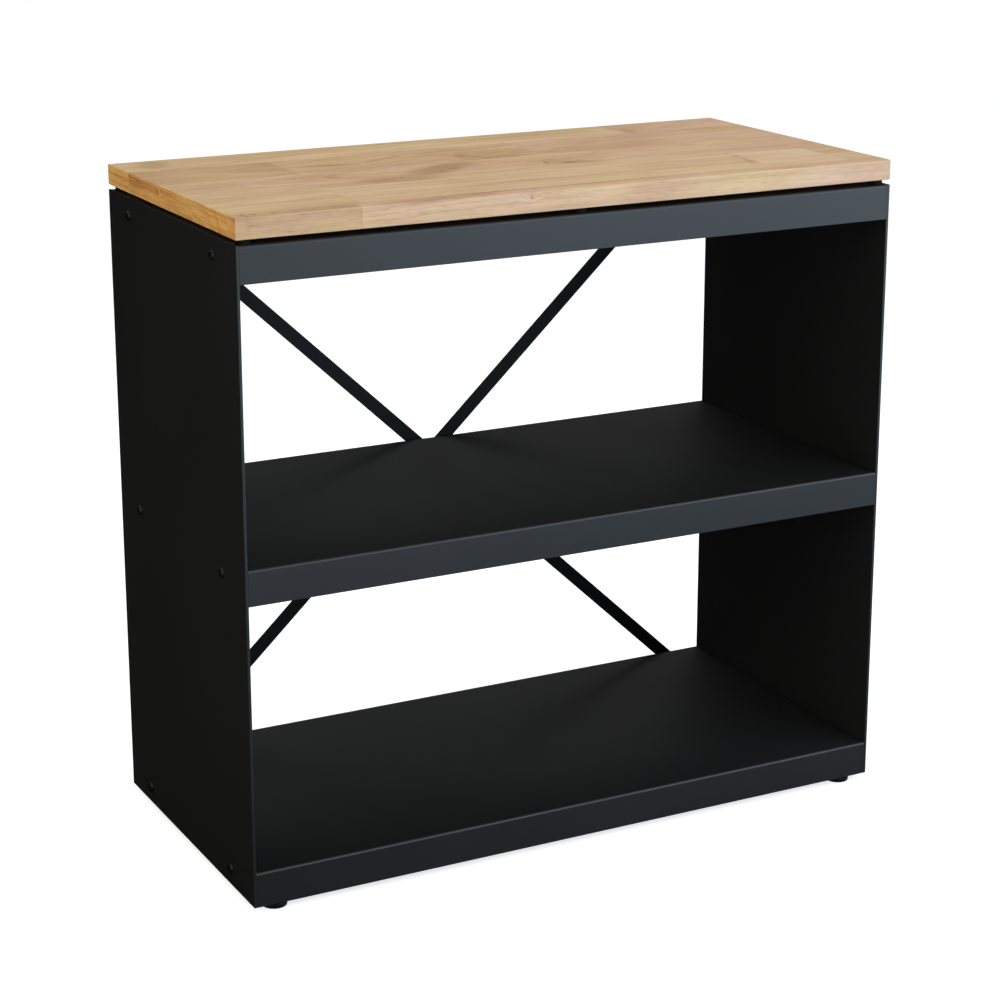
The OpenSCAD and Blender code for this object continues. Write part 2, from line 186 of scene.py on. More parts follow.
# Lamps: place, the point that each faces, width and height, tint, and whether reflections see it
LAMPS = {
    "softbox": ((2.8, -3.5, 1.62), (0, -0.2, 0.6), (4.4, 3.2), (0.80, 0.98, 1.15), True),
    "overhead": ((0.2, 0.2, 3.6), (0, 0, 0.9), (3.0, 3.0), (1, 1, 1), False),
    "fill": ((-3.4, -1.4, 1.6), (0, 0, 0.6), (2.4, 2.4), (1.06, 1.0, 0.90), False),
}

# Cloths round the cabinet and on the floor, which only reflections see
CLOTHS = {
    "flag_left": ((-4.0, -2.2, 0.0), (-3.9, 6.0, 5.0)),
    "flag_back": ((-4.0, 6.0, 0.0), (6.0, 6.1, 5.0)),
    "flag_right": ((5.9, -1.0, 0.0), (6.0, 6.0, 5.0)),
    "flag_floor": ((-3.9, -6.0, 0.0), (5.9, 6.0, 0.0002)),
}
CLOTH_BLACK = (0.01, 0.01, 0.01)

# The floor's cloth glows under the cabinet, within these half sizes, and from one depth to the next in front of it
GLOW_TINT = (0.72, 1.0, 1.28)
UNDER_GLOW = 0.4
UNDER_HALVES = (0.485, 0.238)
FRONT_GLOW = (-1.0, -1.7)

WHITE = (1.0, 1.0, 1.0)
FLOOR_SIZE = 60
FLOOR_GREY = (0.80, 0.80, 0.80)
FLOOR_GLOW = 0.68


class WorktopSettings(PropertyGroup):
    """Sizes and colours of the worktop"""
    arris: FloatProperty(
        name="Arris", description="Radius of the worktop's outer edges", default=0.0011, unit="LENGTH")
    groove: FloatProperty(
        name="Joint groove", description="Chamfer where two staves meet", default=0.0002, unit="LENGTH")
    joint: FloatProperty(
        name="Joint line", description="Each stave's share of the dark line at a joint",
        default=0.0001, unit="LENGTH")
    ring: FloatProperty(
        name="Ring width", description="Distance from one band of growth rings to the next",
        default=0.011, unit="LENGTH")
    pale: FloatVectorProperty(
        name="Pale wood", description="Colour of the palest wood",
        default=(0.680, 0.505, 0.295), subtype="COLOR")
    golden: FloatVectorProperty(
        name="Golden wood", description="Colour of most of the wood",
        default=(0.580, 0.395, 0.207), subtype="COLOR")
    brown: FloatVectorProperty(
        name="Brown wood", description="Colour of the brown bands",
        default=(0.395, 0.238, 0.108), subtype="COLOR")
    knot: FloatVectorProperty(
        name="Knot", description="Colour of the knots", default=(0.200, 0.112, 0.052), subtype="COLOR")


class SteelSettings(PropertyGroup):
    """Finish of the sheet metal"""
    edge: FloatProperty(
        name="Panel edge", description="Radius left on a panel's cut and coated edge",
        default=0.0004, unit="LENGTH")
    cut: FloatProperty(
        name="Cut edge", description="Radius left on the cut edges of trays, bars and brackets",
        default=0.0003, unit="LENGTH")
    hole: FloatProperty(
        name="Bolt hole", description="Diameter of the panels' bolt holes", default=0.009, unit="LENGTH")
    coat: FloatVectorProperty(
        name="Coat", description="Colour of the powder coat",
        default=(0.0100, 0.0100, 0.0101), subtype="COLOR")
    # Colour of the crossed bars: a darker copy of the powder coat, as painted shade at the back of the cabinet
    matt: FloatVectorProperty(
        name="Matt coat", description="Colour of the crossed bars' matt coat",
        default=(0.0046, 0.0046, 0.0046), subtype="COLOR")


class FixingSettings(PropertyGroup):
    """Sizes of the bolts"""
    head: FloatProperty(
        name="Head", description="Diameter of a bolt head", default=0.014, unit="LENGTH")
    head_height: FloatProperty(
        name="Head height", description="Height of a bolt head", default=0.0044, unit="LENGTH")
    shank: FloatProperty(
        name="Shank", description="Diameter of a bolt's thread and a stud's", default=0.008, unit="LENGTH")
    length: FloatProperty(
        name="Length", description="Length of a bolt under its head", default=0.016, unit="LENGTH")
    socket: FloatProperty(
        name="Socket", description="Width across the flats of the hexagon socket",
        default=0.005, unit="LENGTH")
    pitch: FloatProperty(
        name="Pitch", description="Distance from one thread to the next", default=0.00125, unit="LENGTH")


class StageSettings(PropertyGroup):
    """Camera and lamps"""
    lens: FloatProperty(
        name="Lens", description="Focal length on a 36 mm sensor", default=89.61, unit="CAMERA")
    rise: FloatProperty(
        name="Rise", description="Vertical shift of the lens", default=-0.06)
    softbox: FloatProperty(
        name="Softbox", description="Power of the large lamp in front", default=142.0, unit="POWER")
    overhead: FloatProperty(
        name="Overhead", description="Power of the lamp above", default=42.0, unit="POWER")
    fill: FloatProperty(
        name="Fill", description="Power of the lamp on the left", default=56.0, unit="POWER")
    bounce: FloatProperty(
        name="Bounce", description="Strength of the floor in front as the steel mirrors it", default=0.98)
    ambient: FloatProperty(
        name="Ambient", description="Strength of the room's light", default=0.40)


def select(piece=None):
    """Leaves edit mode and selects one piece, or none."""
    if bpy.context.object and bpy.context.object.mode != "OBJECT":
        bpy.ops.object.mode_set(mode="OBJECT")
    bpy.ops.object.select_all(action="DESELECT")
    if piece:
        piece.select_set(True)
        bpy.context.view_layer.objects.active = piece


def edit(piece, wanted=None):
    """Opens a piece in edit mode with all of it selected, or only the edges that pass a test."""
    select(piece)
    bpy.ops.object.mode_set(mode="EDIT")
    bpy.ops.mesh.select_mode(type="EDGE")
    bpy.ops.mesh.select_all(action="DESELECT" if wanted else "SELECT")
    if wanted:
        mesh = bmesh.from_edit_mesh(piece.data)
        for edge in mesh.edges:
            edge.select_set(wanted(edge))
        bmesh.update_edit_mesh(piece.data)


def delete(piece):
    """Deletes a piece that has done its work."""
    select(piece)
    bpy.ops.object.delete()


def added(name):
    """Names the primitive that was just added and applies its place."""
    piece = bpy.context.object
    piece.name = name
    piece.data.name = name
    bpy.ops.object.transform_apply(location=True, rotation=True, scale=True)
    return piece


def block(name, low, high):
    """Adds a box between two corners."""
    select()
    low, high = Vector(low), Vector(high)
    bpy.ops.mesh.primitive_cube_add(size=1, location=(low + high) / 2, scale=high - low)
    return added(name)


def bar(name, sides, radius, length, middle, turn=(0, 0, 0)):
    """Adds a round or many-sided bar."""
    select()
    bpy.ops.mesh.primitive_cylinder_add(vertices=sides, radius=radius, depth=length, location=middle, rotation=turn)
    return added(name)


def both_at(a, b, axis, place):
    """Tests whether both ends of an edge are at one place along an axis."""
    return abs(a[axis] - place) < SNAP and abs(b[axis] - place) < SNAP


def bevel_edges(piece, wanted, offset, segments):
    """Rounds the edges whose two ends pass the test."""
    edit(piece, lambda edge: wanted(edge.verts[0].co, edge.verts[1].co))
    bpy.ops.mesh.bevel(offset=offset, segments=segments, affect="EDGES")
    bpy.ops.object.mode_set(mode="OBJECT")


def turned(name, profile, segments=48):
    """Adds a disc and extrudes it up through the rings of a profile of radius and height."""
    select()
    radius, height = profile[0]
    bpy.ops.mesh.primitive_circle_add(vertices=segments, radius=radius, location=(0, 0, height), fill_type="NGON")
    piece = added(name)
    edit(piece)
    for next_radius, next_height in profile[1:]:
        bpy.ops.mesh.extrude_region_move(TRANSFORM_OT_translate={"value": (0, 0, next_height - height)})
        ratio = next_radius / radius
        bpy.ops.transform.resize(value=(ratio, ratio, 1))
        radius, height = next_radius, next_height
    bpy.ops.mesh.select_all(action="SELECT")
    bpy.ops.mesh.normals_make_consistent(inside=False)
    bpy.ops.object.mode_set(mode="OBJECT")
    return piece


def apply_modifier(piece, kind, **settings):
    """Adds a modifier with its settings and applies it."""
    select(piece)
    modifier = piece.modifiers.new(kind.title(), kind)
    for key, value in settings.items():
        setattr(modifier, key, value)
    bpy.ops.object.modifier_apply(modifier=modifier.name)


def carve(piece, cutter, operation="DIFFERENCE"):
    """Takes the cutter's shape out of a piece, or does another operation with it."""
    apply_modifier(piece, "BOOLEAN", operation=operation, object=cutter, solver="EXACT")
    delete(cutter)


def smooth(piece, angle=40):
    """Shades a piece smooth, apart from its sharp edges, and keeps its large faces flat."""
    select(piece)
    bpy.ops.object.shade_smooth_by_angle(angle=math.radians(angle))
    apply_modifier(piece, "WEIGHTED_NORMAL", keep_sharp=True)


def copied(piece, name, place=Matrix.Identity(4)):
    """Copies a piece, with its own mesh, to a place."""
    twin = bpy.data.objects.new(name, piece.data.copy())
    twin.data.transform(place)
    bpy.context.scene.collection.objects.link(twin)
    return twin


def joined(name, parts):
    """Joins parts into one piece."""
    select(parts[0])
    for part in parts:
        part.select_set(True)
    if len(parts) > 1:
        bpy.ops.object.join()
    parts[0].name = name
    parts[0].data.name = name
    return parts[0]


def fit(piece, material, slot, body, *nodes):
    """Gives a finished piece its material, its body and the nodes that it stands for."""
    piece.data.materials.clear()
    piece.data.materials.append(material)
    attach(piece, body)
    if nodes:
        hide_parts(*nodes)


def give(node, material):
    """Gives a node of the frame its material."""
    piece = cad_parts[node]
    for place in piece.material_slots:
        place.material = material
    if not piece.material_slots:
        piece.data.materials.append(material)


def eased(node, name, radius):
    """Copies a node of the frame, merges its faces and rounds its cut edges."""
    piece = copied(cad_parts[node], name)
    edit(piece)
    bpy.ops.mesh.remove_doubles(threshold=SNAP)
    bpy.ops.mesh.dissolve_limited(angle_limit=math.radians(1))
    bpy.ops.mesh.select_all(action="DESELECT")
    bpy.ops.mesh.edges_select_sharp(sharpness=math.radians(50))
    bpy.ops.mesh.bevel(offset=radius, segments=2, affect="EDGES", clamp_overlap=False)
    bpy.ops.object.mode_set(mode="OBJECT")
    smooth(piece)
    return piece


def solids_of(node):
    """Lowest and highest corner of each solid of a node."""
    edit(copied(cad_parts[node], "measure"))
    bpy.ops.mesh.remove_doubles(threshold=SNAP)
    bpy.ops.mesh.separate(type="LOOSE")
    bpy.ops.object.mode_set(mode="OBJECT")
    boxes = []
    for part in list(bpy.context.selected_objects):
        points = [v.co for v in part.data.vertices]
        low = Vector(min(p[i] for p in points) for i in range(3))
        high = Vector(max(p[i] for p in points) for i in range(3))
        boxes.append((low, high))
    bpy.ops.object.delete()
    return sorted(boxes, key=lambda box: tuple(round(c, 4) for c in box[0]))


class Nodes:
    """A node tree and short ways to add nodes to it."""

    def __init__(self, tree):
        self.tree = tree

    def put(self, socket, value):
        """Links a socket to another, or sets its value; a colour is three numbers."""
        if isinstance(value, bpy.types.NodeSocket):
            self.tree.links.new(value, socket)
        elif socket.type == "RGBA":
            socket.default_value = (*value, 1.0)
        else:
            socket.default_value = value

    def add(self, kind, inputs=(), **settings):
        """Adds a node; inputs are values or sockets, in order or by name."""
        node = self.tree.nodes.new(kind)
        for key, value in settings.items():
            setattr(node, key, value)
        pairs = inputs.items() if isinstance(inputs, dict) else enumerate(inputs)
        for key, value in pairs:
            self.put(node.inputs[key], value)
        return node

    def calc(self, operation, *values):
        return self.add("ShaderNodeMath", values, operation=operation).outputs[0]

    def vector(self, operation, *values):
        return self.add("ShaderNodeVectorMath", values, operation=operation).outputs[0]

    def scaled(self, vector, factors):
        return self.vector("MULTIPLY", vector, factors)

    def length(self, vector):
        return self.add("ShaderNodeVectorMath", [vector], operation="LENGTH").outputs["Value"]

    def axes(self, vector):
        return self.add("ShaderNodeSeparateXYZ", [vector]).outputs

    def point(self, x, y, z):
        return self.add("ShaderNodeCombineXYZ", [x, y, z]).outputs[0]

    def noise(self, vector, detail=2.0, roughness=0.5, output=0):
        inputs = {"Vector": vector, "Scale": 1.0, "Detail": detail, "Roughness": roughness}
        return self.add("ShaderNodeTexNoise", inputs).outputs[output]

    def drift(self, vector, detail):
        """Noise that pushes a point either way along each axis."""
        return self.vector("SUBTRACT", self.noise(vector, detail, output=1), (0.5, 0.5, 0.5))

    def remap(self, value, low, high, to_low=0.0, to_high=1.0, kind="LINEAR"):
        inputs = [value, low, high, to_low, to_high]
        return self.add("ShaderNodeMapRange", inputs, interpolation_type=kind).outputs[0]

    def mix(self, factor, first, second, blend="MIX"):
        node = self.add("ShaderNodeMix", data_type="RGBA", blend_type=blend)
        for number, value in ((0, factor), (6, first), (7, second)):
            self.put(node.inputs[number], value)
        return node.outputs[2]

    def ramp(self, value, stops):
        """Colour of a value between stops of place and colour."""
        node = self.add("ShaderNodeValToRGB", [value])
        while len(node.color_ramp.elements) < len(stops):
            node.color_ramp.elements.new(0.5)
        for element, (place, shade) in zip(node.color_ramp.elements, stops):
            element.position = place
        # The stops sort themselves while they move, so they get their colours afterwards
        for element, (place, shade) in zip(node.color_ramp.elements, stops):
            element.color = (*shade, 1.0)
        return node.outputs[0]

    def spot(self, vector, place, size, fade, turn=0, strength=1.0):
        """Soft oval, as strong as given in its middle and gone past its edge."""
        place, size = (*place, BOARD_LEVEL)[:3], (*size, RIGHT_THROUGH)[:3]
        inputs = [vector, place, (0.0, 0.0, math.radians(turn)), size]
        mapping = self.add("ShaderNodeMapping", inputs, vector_type="TEXTURE")
        return self.remap(self.length(mapping.outputs[0]), *fade, strength, 0.0, "SMOOTHSTEP")

    def seen(self):
        """Gives 1 to rays from the camera, also by way of gloss and glass, and 0 to light."""
        path = self.add("ShaderNodeLightPath").outputs
        mirrored = self.calc("MAXIMUM", path["Is Glossy Ray"], path["Is Transmission Ray"])
        return self.calc("MAXIMUM", path["Is Camera Ray"], mirrored)


class Paint(Nodes):
    """A material, its shader and the place that its patterns follow."""

    def __init__(self, name, **values):
        self.material = bpy.data.materials.new(name)
        self.material.use_nodes = True
        super().__init__(self.material.node_tree)
        self.surface = self.tree.nodes["Principled BSDF"]
        self.place = self.add("ShaderNodeTexCoord").outputs["Object"]
        for key, value in values.items():
            self.set(key.replace("_", " "), value)

    def set(self, key, value):
        self.put(self.surface.inputs[key], value)

    def attribute(self, name, output):
        return self.add("ShaderNodeAttribute", attribute_name=name).outputs[output]

    def speckle(self, times, detail, roughness=0.5):
        """Even noise, at so many times a metre."""
        return self.noise(self.scaled(self.place, (times,) * 3), detail, roughness)

    def bump(self, height, distance, strength):
        node = self.add("ShaderNodeBump", {"Height": height, "Distance": distance, "Strength": strength})
        self.set("Normal", node.outputs[0])


def powder_coat(name, coat, gloss):
    """Fine-textured powder coat."""
    paint = Paint(name, Specular_IOR_Level=gloss)
    cloud = paint.speckle(3.0, 3.0)
    grain = paint.speckle(900.0, 3.0, 0.6)
    tone = paint.calc("ADD", paint.remap(cloud, 0.3, 0.7, 0.92, 1.08), paint.remap(grain, 0.2, 0.8, -0.08, 0.08))
    shade = paint.add("ShaderNodeVectorMath", {0: tuple(coat), "Scale": tone}, operation="SCALE").outputs[0]
    paint.set("Base Color", shade)
    paint.set("Roughness", paint.remap(cloud, 0.3, 0.7, 0.39, 0.46))
    paint.bump(grain, 0.00012, 0.5)
    return paint.material


def black_fastener():
    """Blackened steel of the bolts."""
    paint = Paint("black_fastener", Metallic=0.85)
    wear = paint.speckle(240.0, 3.0)
    paint.set("Base Color", paint.mix(paint.remap(wear, 0.35, 0.7), (0.020, 0.020, 0.022), (0.045, 0.045, 0.048)))
    paint.set("Roughness", paint.remap(wear, 0.3, 0.7, 0.30, 0.46))
    return paint.material


def zinc_plate():
    """Bright zinc plating."""
    paint = Paint("zinc_plate", Metallic=1.0)
    cloud = paint.speckle(120.0, 4.0)
    paint.set("Base Color", paint.mix(paint.remap(cloud, 0.3, 0.7), (0.50, 0.52, 0.55), (0.66, 0.67, 0.66)))
    paint.set("Roughness", paint.remap(cloud, 0.3, 0.7, 0.24, 0.40))
    return paint.material


def black_plastic():
    """Moulded plastic of the foot pads."""
    paint = Paint("black_plastic", Roughness=0.42, Specular_IOR_Level=0.15)
    grain = paint.speckle(1500.0, 2.0)
    paint.set("Base Color", paint.mix(grain, (0.0028, 0.0031, 0.0034), (0.0046, 0.0050, 0.0055)))
    paint.bump(grain, 0.00005, 0.4)
    return paint.material


def black_rubber():
    """Rubber of the spacers under the worktop, near black: partly the rubber's own colour and partly painted shade
    of the gap under the worktop.
    """
    paint = Paint("black_rubber", Roughness=0.8, Specular_IOR_Level=0.1)
    grain = paint.speckle(900.0, 3.0)
    # This near-black base colour adds painted shade of the gap under the worktop to the rubber's own black
    paint.set("Base Color", paint.mix(grain, (0.002, 0.002, 0.002), (0.005, 0.005, 0.005)))
    paint.bump(grain, 0.0001, 0.4)
    return paint.material


def stave_seed(row, number):
    """Number that tells a stave's figure from the others'."""
    return 1.3 + 2.17 * row + 5.41 * number


def knot_marks(paint, torn):
    """How much a point lies in a knot, and how much the rings bend round it there."""
    knots = swell = 0.0
    for place, size in KNOTS:
        knots = paint.calc("MAXIMUM", knots, paint.spot(torn, place, size, KNOT_FADE))
        swell = paint.calc("MAXIMUM", swell, paint.spot(torn, place, size, SWELL_FADE))
    return knots, swell


def flame_marks(paint, torn, seed):
    """How dark the flames are at a point, each on its own stave only."""
    flames = 0.0
    for row, number, x, y, length, width, turn, strength in FLAMES:
        own = paint.calc("COMPARE", seed, stave_seed(row - 1, number - 1), 0.1)
        spot = paint.spot(torn, (x, y), (length, width), FLAME_FADE, turn, strength)
        flames = paint.calc("MAXIMUM", flames, paint.calc("MULTIPLY", own, spot))
    return flames


def ring_radius(paint, pith, bend, waves, swell):
    """Distance from a stave's pith, as the rings wave, arch along the stave and bend round knots."""
    offset = paint.vector("SUBTRACT", paint.place, pith)
    arch = paint.calc("MULTIPLY", paint.calc("POWER", paint.axes(offset)[0], 2.0), bend)
    bent = paint.vector("ADD", waves, paint.point(0.0, 0.0, arch))
    across = paint.vector("ADD", paint.scaled(offset, (0.0, 1.0, 1.0)), bent)
    return paint.calc("ADD", paint.length(across), paint.calc("MULTIPLY", swell, KNOT_SWELL))


def oiled_wood():
    """Oiled hardwood: growth rings bent round each stave's pith and its knots, with fibres, pores and flames."""
    settings = bpy.context.scene.cabinet_worktop
    paint = Paint("oiled_wood", Specular_IOR_Level=0.35)
    pith, pink = paint.attribute("pith", "Vector"), paint.attribute("pink", "Fac")
    seed, tone, bend = paint.axes(paint.attribute("nature", "Vector"))
    shift = paint.point(paint.calc("MULTIPLY", seed, 3.7), seed, paint.calc("MULTIPLY", seed, 1.9))
    stave = paint.vector("ADD", paint.place, shift)

    waver = paint.drift(paint.scaled(stave, WAVER), 3.0)
    ripple = paint.drift(paint.scaled(stave, RIPPLE), 2.0)
    waves = paint.vector("ADD", paint.scaled(waver, WAVER_BEND), paint.scaled(ripple, RIPPLE_BEND))
    fray = paint.vector("ADD", paint.scaled(waver, WAVER_FRAY), paint.scaled(ripple, RIPPLE_FRAY))
    torn = paint.vector("ADD", paint.place, fray)
    knots, swell = knot_marks(paint, torn)
    flames = flame_marks(paint, torn, seed)

    radius = paint.calc("ADD", ring_radius(paint, pith, bend, waves, swell), seed)
    inputs = {"W": radius, "Scale": 1.0 / settings.ring, "Detail": 5.0, "Roughness": 0.68}
    rings = paint.add("ShaderNodeTexNoise", inputs, noise_dimensions="1D").outputs[0]
    contrast = paint.remap(paint.noise(paint.scaled(stave, CONTRAST)), 0.35, 0.65, 0.45, 1.25)
    rings = paint.calc("MULTIPLY", paint.calc("SUBTRACT", rings, 0.5), contrast)
    fibre = paint.noise(paint.scaled(stave, FIBRE), 4.0, 0.6)
    pores = paint.noise(paint.scaled(stave, PORES), 1.0)
    cloud = paint.noise(paint.scaled(stave, CLOUD), 3.0, 0.55)

    # End grain shows where the surface looks along the staves, and evens out their tones
    normal = paint.add("ShaderNodeTexCoord").outputs["Normal"]
    end = paint.remap(paint.calc("ABSOLUTE", paint.axes(normal)[0]), 0.6, 0.95)
    tone = paint.remap(end, 0.0, 1.0, tone, paint.calc("MULTIPLY_ADD", tone, 0.35, 0.18))

    depth = paint.calc("ADD", tone, flames)
    for figure, share in (
        (rings, RING_SHARE),
        (paint.calc("SUBTRACT", cloud, 0.5), CLOUD_SHARE),
        (paint.calc("SUBTRACT", fibre, 0.5), FIBRE_SHARE),
        (paint.remap(pores, 0.56, 0.70), PORE_SHARE),
    ):
        depth = paint.calc("MULTIPLY_ADD", figure, share, depth)
    stops = ((0.0, settings.pale), (0.30, settings.golden), (0.75, settings.brown), (1.0, settings.knot))
    wood = paint.mix(paint.calc("MULTIPLY", knots, 0.6), paint.ramp(depth, stops), settings.knot)

    blush = paint.remap(paint.noise(paint.scaled(stave, BLUSH), 3.0), 0.36, 0.60)
    wood = paint.mix(paint.calc("MULTIPLY", pink, blush), wood, BLUSH_TINT, "MULTIPLY")
    wood = paint.mix(end, wood, END_TINT, "MULTIPLY")
    lines = paint.vector("ADD", paint.scaled(stave, STREAKS), paint.scaled(waver, (0.0, 0.0, 4.0)))
    streaks = paint.remap(paint.noise(lines, 3.0, 0.65), 0.46, 0.66)
    wood = paint.mix(paint.calc("MULTIPLY", end, streaks), wood, STREAK_TINT, "MULTIPLY")
    paint.set("Base Color", wood)
    paint.set("Roughness", paint.remap(fibre, 0.3, 0.7, 0.44, 0.58))
    paint.bump(paint.calc("ADD", fibre, pores), 0.00010, 0.35)
    return paint.material


class CABINET_OT_worktop(Operator):
    """Models the staves of the worktop, row by row"""
    bl_idname = "cabinet.worktop"
    bl_label = "Worktop"

    def stave(self, settings, starts, stops, board):
        """Adds a stave, short of its neighbours by the joint line, with its outer edges and its joints eased."""
        low, high = board
        joints = []
        for axis in (0, 1):
            if starts[axis] > low[axis] + SNAP:
                starts[axis] += settings.joint
                joints.append((axis, starts[axis]))
            if stops[axis] < high[axis] - SNAP:
                stops[axis] -= settings.joint
                joints.append((axis, stops[axis]))
        stave = block("stave", starts, stops)

        def outer(a, b):
            """Tests whether an edge lies in two sides of the board."""
            return sum(both_at(a, b, axis, side[axis]) for axis in range(3) for side in board) > 1

        bevel_edges(stave, outer, settings.arris, 3)
        for axis, place in joints:
            bevel_edges(stave, lambda a, b: both_at(a, b, axis, place), settings.groove, 1)
        return stave

    def mark(self, stave, name, kind, field, value):
        """Gives all points of a stave the same attribute."""
        layer = stave.data.attributes.new(name, kind, "POINT")
        layer.data.foreach_set(field, value * len(stave.data.vertices))

    def execute(self, context):
        settings = context.scene.cabinet_worktop
        wood = oiled_wood()
        rows = [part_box(f"worktop_stave_row_{row + 1}") for row in range(ROWS)]
        low = Vector(min(box[0][i] for box in rows) for i in range(3))
        high = Vector(max(box[1][i] for box in rows) for i in range(3))
        for row, (row_low, row_high) in enumerate(rows):
            ends = [low.x, *[low.x + joint for joint in ROW_JOINTS[row]], high.x]
            parts = []
            for number, (left, right) in enumerate(zip(ends, ends[1:])):
                stave = self.stave(settings, [left, row_low.y, low.z], [right, row_high.y, high.z], (low, high))
                tone, pink, nearest, across, below, bend = STAVES[row][number]
                pith = (nearest, (row_low.y + row_high.y) / 2 + across, low.z - below)
                self.mark(stave, "pith", "FLOAT_VECTOR", "vector", pith)
                self.mark(stave, "nature", "FLOAT_VECTOR", "vector", (stave_seed(row, number), tone, bend))
                self.mark(stave, "pink", "FLOAT", "value", (pink,))
                parts.append(stave)
            piece = joined(f"stave_row_{row + 1}", parts)
            smooth(piece)
            fit(piece, wood, "oiled_wood", BODY, f"worktop_stave_row_{row + 1}")
        return {"FINISHED"}


class CABINET_OT_panels(Operator):
    """Models the side panels, trays, crossed bars and foot brackets"""
    bl_idname = "cabinet.panels"
    bl_label = "Sheet metal"

    def execute(self, context):
        settings = context.scene.cabinet_steel
        coat = powder_coat("powder_coat", settings.coat, COAT_GLOSS)
        # The crossed bars get a darker, less glossy copy of the coat; the darker colour is painted shade
        matt = powder_coat("matt_coat", settings.matt, MATT_GLOSS)
        for side in ("left", "right"):
            low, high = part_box(f"{side}_side_panel")
            panel = block(f"{side}_panel", low, high)
            bevel_edges(panel, lambda a, b: True, settings.edge, 3)
            for hole_low, hole_high in solids_of(f"{side}_panel_bolts"):
                middle = (hole_low + hole_high) / 2
                carve(panel, bar("hole", 32, settings.hole / 2, HOLE_LENGTH, middle, (0, math.pi / 2, 0)))
            smooth(panel)
            fit(panel, coat, "powder_coat", BODY, f"{side}_side_panel")
        brackets = [f"{corner}_foot_bracket" for corner in CORNERS]
        for node in (*TRAYS, *BARS, *brackets):
            finish = matt if node in BARS else coat
            fit(eased(node, f"{node}_sheet", settings.cut), finish, "powder_coat", BODY, node)
        return {"FINISHED"}


def corner_radius(across):
    """Radius of a hexagon's corners from its width across flats."""
    return across / 2 / math.cos(math.radians(30))


def hexagon(name, across, low, high):
    """Adds a hexagon with chamfered corners between two heights."""
    corner = corner_radius(across)
    piece = bar(name, 6, corner, high - low, (0, 0, (low + high) / 2))
    slope, past, end = math.tan(math.radians(30)), HEXAGON_PAST, HEXAGON_FACE * across
    rise = slope * (corner + past - end)
    profile = [
        (end - past / slope, low - past), (corner + past, low + rise),
        (corner + past, high - rise), (end - past / slope, high + past),
    ]
    carve(piece, turned("chamfer", profile, 42), "INTERSECT")
    edit(piece)
    bpy.ops.mesh.remove_doubles(threshold=SNAP)
    bpy.ops.object.mode_set(mode="OBJECT")
    return piece


def axis_vector(axis):
    """Unit vector along an axis."""
    return Vector(float(axis == i) for i in range(3))


def nuts(node, zinc):
    """Models the nuts of a node, each chamfered and bored, where the frame has them."""
    bore = bpy.context.scene.cabinet_fixings.shank / 2 + BORE_ROOM
    mouth = bore + BORE_CHAMFER + BORE_PAST
    parts = []
    for low, high in solids_of(node):
        size = high - low
        thin, flats, corners = sorted(range(3), key=lambda axis: size[axis])
        end = size[thin] / 2
        nut = hexagon("nut", size[flats], -end, end)
        profile = [
            (mouth, -end - BORE_PAST), (bore, BORE_CHAMFER - end),
            (bore, end - BORE_CHAMFER), (mouth, end + BORE_PAST),
        ]
        carve(nut, turned("bore", profile))
        turn = Matrix((axis_vector(flats), axis_vector(corners), axis_vector(thin))).transposed().to_4x4()
        nut.data.transform(Matrix.Translation((low + high) / 2) @ turn)
        if turn.determinant() < 0:
            nut.data.flip_normals()
        parts.append(nut)
    piece = joined(f"{node}_set", parts)
    smooth(piece, 30)
    fit(piece, zinc, "zinc_plate", BODY, node)


def threaded_rod(name, diameter, pitch, low, high):
    """Adds a rod with a right-handed screw thread between two heights."""
    crest, core = diameter / 2, diameter / 2 - 0.55 * pitch
    root, half = core - 0.1 * pitch, 0.44
    tip, start = 0.8 * pitch, 1.2
    rod = turned(name, [(core - tip / 2, low), (core, low + tip / 2), (core, high - tip), (core - tip, high)], 32)

    # A triangle with its crest out and its root inside the rod is swept up in a screw, and its ends are closed
    select()
    foot = (core, 0, low + start * pitch)
    bpy.ops.mesh.primitive_circle_add(vertices=3, radius=pitch, location=foot, rotation=(math.pi / 2, 0, 0))
    ridge = added("ridge")
    for vertex, (radius, height) in zip(ridge.data.vertices, ((crest, 0.0), (root, half), (root, -half))):
        vertex.co = (radius, 0.0, low + (start + height) * pitch)
    turns = int((high - low - (start + 1.0) * pitch) / pitch)
    apply_modifier(
        ridge, "SCREW", axis="Z", angle=2 * math.pi, screw_offset=pitch, iterations=turns, steps=24, render_steps=24)
    middle = (low + high) / 2
    for lower in (True, False):
        edit(ridge, lambda edge: edge.is_boundary and (edge.verts[0].co.z < middle) == lower)
        bpy.ops.mesh.edge_face_add()
        bpy.ops.mesh.select_all(action="SELECT")
        bpy.ops.mesh.normals_make_consistent(inside=False)
        bpy.ops.object.mode_set(mode="OBJECT")
    return joined(name, [rod, ridge])


